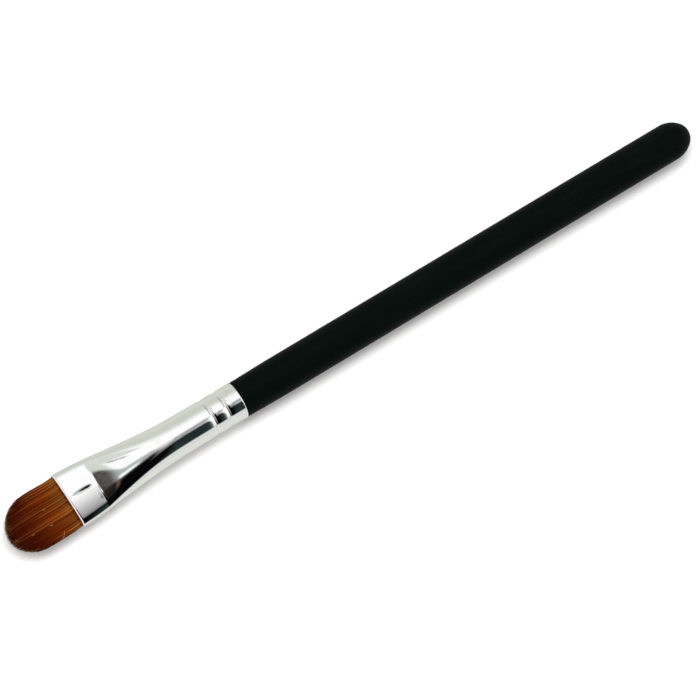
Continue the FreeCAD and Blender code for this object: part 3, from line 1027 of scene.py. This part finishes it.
@dataclass
class Hair:
    """Bundle of natural hair, from its root in the resin to its rounded tip."""

    layout: Layout
    count: int = 4200
    clumps: int = 260
    radius: float = 0.000075
    root_radius: float = 0.000036
    mouth_half_width: float = 0.00562
    mouth_half_thickness: float = 0.00142
    belly_half_width: float = 0.00573
    belly_half_thickness: float = 0.00192
    tip_half_thickness: float = 0.0010
    tip_round: float = 0.0063
    tip_closing: float = 0.03
    tip_lean: float = 0.16
    thread: float = 0.00045
    face_angle: float = 9.0
    crowding: float = 0.45
    ragged: float = 0.0010
    overhang: float = 0.0003
    tip_aside: float = -0.075
    tip_drift: float = -0.00017
    mouth_aside: float = 0.00018
    settle: float = 0.12
    parting: float = 0.02
    painted_side_light: float = 0.13
    wave: float = 0.00006
    free_steps: int = 9
    outline_steps: tuple[int, int] = (12, 6)
    thin_edge: float = 0.1
    swell_end: float = 0.5
    close_start: float = 0.45
    tip_flatness: float = 0.2
    ragged_power: float = 2.0
    tied_share: float = 0.9
    held_shares: Span = (0.93, 0.97)
    held_depth: float = 0.004
    wave_turns: Span = (6.0, 5.0)
    drift_power: int = 3
    taper: float = 0.6
    taper_start: float = 0.6
    parting_shade: float = 0.2
    tone_spread: float = 0.3
    clump_tones: Span = (0.2, 0.75)
    layers: Sequence[str] = ("hair_lower", "hair_middle", "hair_upper")
    rng: random.Random = field(default_factory=lambda: random.Random(SEED))

    def __post_init__(self) -> None:
        """Keep the mouth's outline as shares of its half sizes."""
        oval = Oval(self.mouth_half_width, self.mouth_half_thickness, self.face_angle)
        ring = oval.quarter(*self.outline_steps, oval.face_angle)[::-1]
        self._widths = [0.0] + [y / self.mouth_half_width for y, _ in ring]
        self._heights = [1.0] + [z / self.mouth_half_thickness for _, z in ring]

    @property
    def free_length(self) -> float:
        """Length of the longest hair in front of the mouth."""
        return self.layout.mouth - self.layout.tip

    def outline_height(self, across: float) -> float:
        """Share of the half thickness that the bundle reaches at a share of its half width."""
        return float(np.interp(abs(across), self._widths, self._heights))

    def _root_place(self) -> tuple[float, float]:
        """Place of a hair across the mouth, as shares of the half sizes, closer together at the outside."""
        while True:
            across = self.rng.uniform(-1.0, 1.0)
            reach = self.outline_height(across)
            if self.rng.random() < reach + self.thin_edge:
                side = self.rng.choice((-1.0, 1.0))
                return across, side * reach * self.rng.random() ** self.crowding

    def half_sizes(self, share: float) -> tuple[float, float]:
        """Half width and half thickness of the flow of hairs at a share of the free length."""
        swell = smooth_share(share / self.swell_end)
        close = smooth_share((share - self.close_start) / (1.0 - self.close_start))
        width = self.mouth_half_width + swell * (self.belly_half_width - self.mouth_half_width)
        thick = self.mouth_half_thickness + swell * (self.belly_half_thickness - self.mouth_half_thickness)
        return width * (1.0 - self.tip_closing * close), thick + close * (self.tip_half_thickness - thick)

    def _length(self, across: float, up: float) -> float:
        """Free length of a hair at a place across the mouth, longest a little to one side."""
        aside = across - self.tip_aside
        aside /= 1.0 - math.copysign(1.0, aside) * self.tip_aside
        spread = min(aside * aside + self.tip_flatness * up * up, 1.0)
        straight = self.free_length + self.overhang - self.tip_round
        short = self.ragged * self.rng.random() ** self.ragged_power
        return straight + self.tip_round * math.sqrt(1.0 - spread) - short

    def _held_points(self, across: float, up: float) -> list[Vector]:
        """Points of a hair from its root end to just behind the mouth."""
        layout = self.layout
        waist = (layout.tie_radius - self.thread) * self.tied_share
        tied = Vector((0.0, across * waist, up * waist))
        wide, thick = self.half_sizes(0.0)
        beside, above = self.held_shares
        mouth = Vector((0.0, across * wide * beside + self.mouth_aside, up * thick * above))
        held = [layout.on_axis(x) + tied for x in (layout.root, layout.tie_rear, layout.tie_front)]
        return held + [layout.on_axis(layout.mouth + self.held_depth) + mouth]

    def _strand(self, across: float, up: float, clump: tuple[float, float, float], edge: float) -> Strand:
        """Line of one hair.

        Args:
            across: Share of the half width at the mouth.
            up: Share of the half thickness at the mouth.
            clump: Place and tone of the clump that the hair leans to.
            edge: 1 at the parting between two clumps, 0 well inside one.

        Returns:
            The hair.
        """
        points = self._held_points(across, up)
        radii = [self.root_radius] * len(points)
        along = [0.0] * len(points)
        length = self._length(across, up)
        phase = self.rng.uniform(0.0, math.tau)
        sway, lift = self.rng.gauss(0.0, self.wave), self.rng.gauss(0.0, self.wave)
        beside, above = self.wave_turns
        for step in range(self.free_steps + 1):
            share = step / self.free_steps
            whole = share * length / self.free_length
            wide, thick = self.half_sizes(whole)
            lean = self.tip_lean * smooth_share(whole)
            y = (across + lean * (clump[0] - across)) * wide
            y += sway * math.sin(phase + whole * beside) * whole
            y += self.mouth_aside * (1.0 - smooth_share(whole / self.settle))
            y += self.tip_drift * whole ** self.drift_power
            z = (up + lean * (clump[1] - up)) * thick + lift * math.cos(phase + whole * above) * whole
            points.append(self.layout.on_axis(self.layout.mouth - share * length) + Vector((0.0, y, z)))
            thinning = smooth_share((share - self.taper_start) / (1.0 - self.taper_start))
            radii.append(self.radius * (1.0 - self.taper * thinning))
            along.append(share)
        # Painted light and shade: strands towards +Y get a lighter tone, and those at a parting between
        # clumps (parting_shade) a darker one.
        painted_light = self.painted_side_light * across * (0.5 + length / self.free_length / 2.0)
        tone = clump[2] + painted_light - self.parting_shade * edge + self.rng.gauss(0.0, self.tone_spread)
        tone = min(max(tone, 0.0), 1.0)
        return Strand(points, radii, along, tone)

    def _grow(self) -> list[Strand]:
        """Hairs of the whole bundle, from the lowest to the highest."""
        clumps = [(*self._root_place(), self.rng.uniform(*self.clump_tones)) for _ in range(self.clumps)]
        flatness = self.mouth_half_thickness / self.mouth_half_width
        places = sorted((self._root_place() for _ in range(self.count)), key=lambda place: place[1])
        strands = []
        for across, up in places:
            ranked = sorted((math.hypot(c[0] - across, (c[1] - up) * flatness), c) for c in clumps)
            (first, clump), (second, _) = ranked[:2]
            edge = math.exp(-((second - first) / self.parting) ** 2)
            strands.append(self._strand(across, up, clump, edge))
        return strands

    def bend(self, piece: bpy.types.Object) -> None:
        """Bake a piece of hair's placement into its mesh; the mouth and a point as far beyond the hinge are
        found but not used.
        """
        start = self.layout.on_axis(self.layout.mouth)
        end = self.layout.on_axis(2.0 * self.layout.hinge - self.layout.mouth)
        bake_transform(piece)

    def build(self) -> list[bpy.types.Object]:
        """Grow the hairs and make one piece of each layer.

        Returns:
            The dressed pieces.
        """
        strands = self._grow()
        share = math.ceil(len(strands) / len(self.layers))
        made = []
        for number, name in enumerate(self.layers):
            layer = strands[number * share:(number + 1) * share]
            piece = add_piece(name, StrandMesh(layer).build(name), NaturalHair())
            self.bend(piece)
            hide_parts("hair_tuft", "hair_root")
            made.append(piece)
        return made


@dataclass(frozen=True)
class Curl:
    """Where a loose hair starts, which way it heads, and how it bends."""

    from_mouth: float
    aside: float
    heading: float
    bend: float
    length: float


@dataclass
class LooseHairs:
    """A few pale hairs that curl on the upper face of the tuft."""

    hair: Hair
    radius: float = 0.00006
    lift: float = 3.0
    taper: float = 0.6
    tone: float = 1.0
    steps: int = 12
    curls: Sequence[Curl] = (
        Curl(from_mouth=0.0036, aside=-0.0046, heading=-75.0, bend=75.0, length=0.0018),
        Curl(from_mouth=0.0048, aside=-0.0023, heading=-60.0, bend=150.0, length=0.0010),
        Curl(from_mouth=0.0046, aside=0.0008, heading=10.0, bend=20.0, length=0.0006),
        Curl(from_mouth=0.0089, aside=-0.0022, heading=-10.0, bend=30.0, length=0.0005),
    )

    def build(self) -> bpy.types.Object:
        """Lay the loose hairs on the tuft."""
        strands = [self._strand(curl) for curl in self.curls]
        piece = add_piece("loose_hairs", StrandMesh(strands).build("loose_hairs"), StrayHair())
        self.hair.bend(piece)
        return piece

    def _strand(self, curl: Curl) -> Strand:
        """Line of one loose hair, bent to an arc and lifted at its free end."""
        layout, hair = self.hair.layout, self.hair
        points, along = [], []
        heading = math.radians(curl.heading)
        reach, aside = curl.from_mouth, curl.aside
        for step in range(self.steps + 1):
            share = step / self.steps
            wide, thick = hair.half_sizes(reach / hair.free_length)
            rise = self.radius * (1.0 + self.lift * share * share)
            height = hair.outline_height(aside / wide) * thick + rise
            points.append(layout.on_axis(layout.mouth - reach) + Vector((0.0, aside, height)))
            along.append(share)
            turn = heading + math.radians(curl.bend) * share
            reach += math.cos(turn) * curl.length / self.steps
            aside += math.sin(turn) * curl.length / self.steps
        radii = [self.radius * (1.0 - self.taper * share) for share in along]
        return Strand(points, radii, along, self.tone)


@dataclass
class HiddenCore:
    """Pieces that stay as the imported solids, inside the coat and the ferrule."""

    finishes: dict[str, Finish] = field(default_factory=lambda: {
        "handle_core": SandedWood(),
        "handle_glue": SetAdhesive("wood_glue", (0.80, 0.72, 0.52, 1.0), (0.66, 0.58, 0.40, 1.0), 0.4),
        "binding_thread": CottonThread(),
        "root_resin": SetAdhesive("root_resin", (0.36, 0.19, 0.06, 1.0), (0.22, 0.10, 0.03, 1.0), 0.22),
    })

    def dress(self) -> None:
        """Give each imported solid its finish."""
        for node, finish in self.finishes.items():
            shown = frame["nodes"][node]
            shown.data.materials.clear()
            shown.data.materials.append(finish.material())
            log.info("%s: dressed", node)


@dataclass(frozen=True)
class Seam:
    """Thin dark line of the room: its slope from a start, its middle and reach aside, and its two ends."""

    slope: float
    start: float
    middle: float
    reach: float
    front: Span
    rear: Span


@dataclass
class Room:
    """What the bright metal mirrors, by a direction's angles from straight up: aside to +Y, ahead to +X.

    A span holds the two angles between which a soft edge comes or goes.
    """

    graph: Graph
    box: Colour = grey(1.05)
    far_wall: Colour = (0.63, 0.65, 0.59, 1.0)
    near_wall: Colour = (0.72, 0.74, 0.73, 1.0)
    front_wall: Colour = (0.95, 0.91, 0.90, 1.0)
    ceiling: Colour = grey(0.002)
    rear_ceiling: Colour = (0.024, 0.042, 0.040, 1.0)
    lit_ceiling: Colour = grey(0.85)
    pale_curtain: Colour = (0.44, 0.48, 0.46, 1.0)
    dark_curtain: Colour = (0.11, 0.105, 0.095, 1.0)
    curtain_fold: Colour = (0.05, 0.042, 0.038, 1.0)
    curtain_foot: Colour = (0.020, 0.016, 0.014, 1.0)
    curtain_hem: Colour = (0.16, 0.085, 0.065, 1.0)
    glint: Colour = grey(0.95)
    seam: Colour = (0.15, 0.14, 0.16, 1.0)

    box_fade: Span = (24.0, 62.0)
    box_edge: Span = (18.6, 20.6)
    box_edge_end: Span = (-1.0, 4.0)
    box_edge_share: float = 0.8
    box_front: Span = (-10.5, -9.0)
    box_front_share: float = 0.85
    gap_rear: Span = (9.5, 15.0)
    gap_lit: Span = (13.0, 26.0)
    slant_start: float = 4.0
    slant: float = 1.8
    shelf: Span = (10.0, 20.0)
    shelf_least: float = 0.3
    slant_edge: Span = (-8.0, -1.0)
    straight_edge: Span = (-6.0, 6.0)
    veil_rise: Span = (2.0, 8.5)
    veil_fall: Span = (11.0, 13.0)
    veil_edge: Span = (-26.0, -15.0)
    veil_edge_share: float = 0.24
    veil_width: float = 20.0

    curtain_deep: Span = (-10.6, -9.6)
    curtain_ends: tuple[Span, Span] = ((-18.0, -15.0), (1.5, 4.5))
    top_fall: Span = (-13.5, -6.5)
    top_range: Span = (2.8, 13.5)
    top_soft: Span = (-2.5, 2.5)
    foot_rise: Span = (-5.0, 1.0)
    foot_range: Span = (-4.8, 3.6)
    foot_soft: Span = (-1.2, 1.0)
    foot_depth: float = -15.0
    foot_dark: Span = (-6.0, -2.5)
    folds: Span = (0.35, 0.6)
    pale_rise: Span = (-12.3, -8.4)
    hem: Span = (-9.7, 0.9)
    hem_sides: tuple[Span, Span] = ((-12.0, -8.0), (-5.0, -3.8))

    glint_sides: tuple[Span, Span] = ((-5.0, -4.0), (-2.0, -0.5))
    glint_ends: tuple[Span, Span] = ((-10.0, -8.8), (-4.5, -1.0))
    glint_breaks: Span = (0.25, 0.4)
    short_seam: Seam = Seam(0.5, -8.0, 18.6, 1.7, (-9.5, -7.8), (-4.5, -3.0))
    long_seam: Seam = Seam(-0.5, 11.0, -8.0, 2.6, (10.0, 12.5), (33.0, 38.0))
    seam_share: float = 0.8

    strip_rise: Span = (35.0, 41.0)
    strip_fall: Span = (60.0, 66.0)
    strip_straight: Span = (-70.0, 35.0)
    strip_lean: float = 0.3
    strip_far: Span = (2.0, 8.0)
    strip_fade: Span = (40.0, 80.0)
    strip_near: Span = (-82.0, -70.0)
    strip_depths: tuple[float, float, float] = (0.6, 0.3, 0.2)
    near_edge: Span = (-76.0, -66.0)
    front_edge: Span = (-26.0, -16.0)
    speckle_scale: float = 34.0

    def __post_init__(self) -> None:
        """Take the angles of each direction in the world's node tree."""
        graph = self.graph
        direction = graph.node("ShaderNodeTexCoord", output="Generated")
        parts = [graph.node("ShaderNodeSeparateXYZ", {}, {0: direction}, axis) for axis in range(3)]
        self.aside = parts[1].angle_over(parts[2])
        self.ahead = parts[0].slope_angle()
        self.speckle = graph.noise(direction, self.speckle_scale, 3.0, 0.7)

    @staticmethod
    def _band(value: Value, middle: float, reach: float) -> Value:
        """Soft band that is 1 at its middle and 0 at its reach to either side."""
        return value.between((middle - reach, middle), (middle, middle + reach))

    def _lit_ceiling(self) -> Value:
        """Soft box to one side, the dark ceiling beside it and a half-lit shelf between them."""
        graph, aside, ahead = self.graph, self.aside, self.ahead
        edge = ahead.fall(*self.box_edge_end) * aside.step(*self.box_edge) * self.box_edge_share
        front = ahead.fall(*self.box_front) * self.box_front_share
        box = graph.mix(aside.step(*self.box_fade).upper(edge).upper(front), self.box, self.far_wall)
        gap = graph.mix(ahead.step(*self.gap_rear), self.ceiling, self.rear_ceiling)
        gap = graph.mix(ahead.step(*self.gap_lit), gap, self.lit_ceiling)
        slant = aside + (ahead - self.slant_start).upper(0.0) * self.slant
        shelf = ahead.step(*self.shelf) * (1.0 - self.shelf_least) + self.shelf_least
        sharp = slant.step(*self.slant_edge) * shelf + aside.step(*self.straight_edge) * (1.0 - shelf)
        even = ((aside - self.veil_edge[1]) / self.veil_width).upper(0.0).lower(1.0)
        soft = aside.step(*self.veil_edge) * self.veil_edge_share + even * (1.0 - self.veil_edge_share)
        veil = ahead.between(self.veil_rise, self.veil_fall)
        return graph.mix(sharp * (1.0 - veil) + soft * veil, gap, box)

    def _with_curtain(self, colour: Value) -> Value:
        """Colour with the dark curtain behind the camera laid over it."""
        graph, aside, ahead = self.graph, self.aside, self.ahead
        deep = ahead.fall(*self.curtain_deep)
        top = ahead.fall(*self.top_fall) * self.top_range[1] + self.top_range[0]
        foot = ahead.step(*self.foot_rise) * self.foot_range[1] + self.foot_range[0]
        foot_start = deep * self.foot_depth + self.foot_soft[0]
        share = (aside - top).fall(*self.top_soft) * (aside - foot).step(foot_start, self.foot_soft[1])
        share = share * ahead.between(*self.curtain_ends)
        cloth = graph.mix(self.speckle.step(*self.folds), self.curtain_fold, self.dark_curtain)
        cloth = graph.mix(ahead.step(*self.pale_rise), cloth, self.pale_curtain)
        cloth = graph.mix(deep * aside.fall(*self.foot_dark), cloth, self.curtain_foot)
        hem = self._band(ahead, *self.hem) * aside.between(*self.hem_sides)
        return graph.mix(hem, graph.mix(share, colour, cloth), self.curtain_hem)

    def _seam(self, seam: Seam) -> Value:
        """Share of one thin dark line."""
        line = self.aside + (self.ahead - seam.start) * seam.slope
        return self._band(line, seam.middle, seam.reach) * self.ahead.between(seam.front, seam.rear)

    def _with_lines(self, colour: Value) -> Value:
        """Colour with a broken bright line and two thin dark seams laid over it."""
        glint = self.aside.between(*self.glint_sides) * self.ahead.between(*self.glint_ends)
        colour = self.graph.mix(glint * self.speckle.step(*self.glint_breaks), colour, self.glint)
        seams = self._seam(self.short_seam).upper(self._seam(self.long_seam))
        return self.graph.mix(seams * self.seam_share, colour, self.seam)

    def _rear_strip(self) -> Value:
        """Share of the dark strip behind the brush, which draws the front flanks of the crimps."""
        aside, ahead = self.aside, self.ahead
        far, faded, near = self.strip_depths
        depth = aside.step(*self.strip_far) * (far - aside.step(*self.strip_fade) * faded)
        depth = depth + aside.fall(*self.strip_near) * near
        low, high = self.strip_straight
        lean = (aside - high).upper(low - aside).upper(0.0) * self.strip_lean
        return (ahead + lean).step(*self.strip_rise) * ahead.fall(*self.strip_fall) * depth

    def colour(self) -> Value:
        """Colour of the room in every direction."""
        colour = self._with_lines(self._with_curtain(self._lit_ceiling()))
        colour = self.graph.mix(self.aside.fall(*self.near_edge), colour, self.near_wall)
        colour = self.graph.mix(self._rear_strip(), colour, self.seam)
        return self.graph.mix(self.ahead.fall(*self.front_edge), colour, self.front_wall)


@dataclass
class Studio:
    """White floor, soft light and the camera."""

    layout: Layout
    floor_radius: float = 3.0
    floor_sides: int = 64
    view_distance: float = 0.6
    view_axis_tilt: float = 15.6
    view_roll: float = 6.0
    picture_turn: float = 31.0
    target_station: float = -0.00413
    target_aside: float = 0.0029
    focal_pixels: float = 2993.0
    sensor: float = 36.0
    key_power: float = 3.8
    key_size: Span = (0.6, 0.31)
    key_distance: float = 0.8
    key_turn: float = 13.6
    key_station: float = -0.1

    def add_floor(self) -> None:
        """Add the floor that the brush lies on."""
        mesh = bmesh.new()
        bmesh.ops.create_circle(mesh, cap_ends=True, segments=self.floor_sides, radius=self.floor_radius)
        data = mesh_data("floor", mesh)
        data.materials.append(PaleFloor().material())
        floor = add_object("floor", data)

    def add_key(self) -> None:
        """Add the soft box above the brush, towards +Y and the hair."""
        lamp = bpy.data.lights.new("key", "AREA")
        lamp.shape = "RECTANGLE"
        lamp.size, lamp.size_y = self.key_size
        lamp.energy = self.key_power
        holder = add_object("key", lamp)
        turn = math.radians(self.key_turn)
        aim = Vector((0.0, math.sin(turn), math.cos(turn)))
        holder.location = aim * self.key_distance + Vector((self.key_station, 0.0, 0.0))
        holder.rotation_euler = (-turn, 0.0, 0.0)
        holder.visible_glossy = False

    def add_world(self) -> None:
        """Add the room round the brush, which the camera itself sees as white."""
        world = bpy.data.worlds.new("room")
        bpy.context.scene.world = world
        graph = Graph(world)
        camera = graph.node("ShaderNodeLightPath", output="Is Camera Ray")
        seen = graph.mix(camera, Room(graph).colour(), grey(1.0))
        sky = graph.node("ShaderNodeBackground", {}, {"Color": seen, "Strength": 1.0})
        graph.output(sky, "ShaderNodeOutputWorld")

    def add_camera(self) -> None:
        """Add the camera at the photograph's viewing angle."""
        tilt, roll = math.radians(self.view_axis_tilt), math.radians(self.view_roll)
        back = Vector((
            -math.sin(tilt),
            -math.cos(tilt) * math.sin(roll),
            math.cos(tilt) * math.cos(roll),
        ))
        along = Vector((1.0, 0.0, 0.0))
        along = (along - along.dot(back) * back).normalized()
        across = back.cross(along)
        turn = math.radians(self.picture_turn)
        right = math.cos(turn) * along - math.sin(turn) * across
        up = math.sin(turn) * along + math.cos(turn) * across
        target = self.layout.on_axis(self.target_station) - self.target_aside * across
        data = bpy.data.cameras.new("camera")
        data.sensor_width = self.sensor
        data.lens = self.sensor * self.focal_pixels / PHOTO_SIDE
        camera = add_object("camera", data)
        turned = Matrix((right, up, back)).transposed().to_4x4()
        camera.matrix_world = Matrix.Translation(target + self.view_distance * back) @ turned
        bpy.context.scene.camera = camera

    def build(self) -> None:
        """Set up the whole studio."""
        bpy.context.scene.view_settings.view_transform = "Standard"
        self.add_floor()
        self.add_key()
        self.add_world()
        self.add_camera()


def main() -> None:
    """Build the brush piece by piece, then the studio round it."""
    logging.basicConfig(level=logging.INFO, format="%(name)s: %(message)s")
    layout = Layout.from_frame()
    Ferrule(layout).build()
    HandleCoat(layout).build()
    hair = Hair(layout)
    hair.build()
    LooseHairs(hair).build()
    HiddenCore().dress()
    Studio(layout).build()


if __name__ == "__main__":
    main()
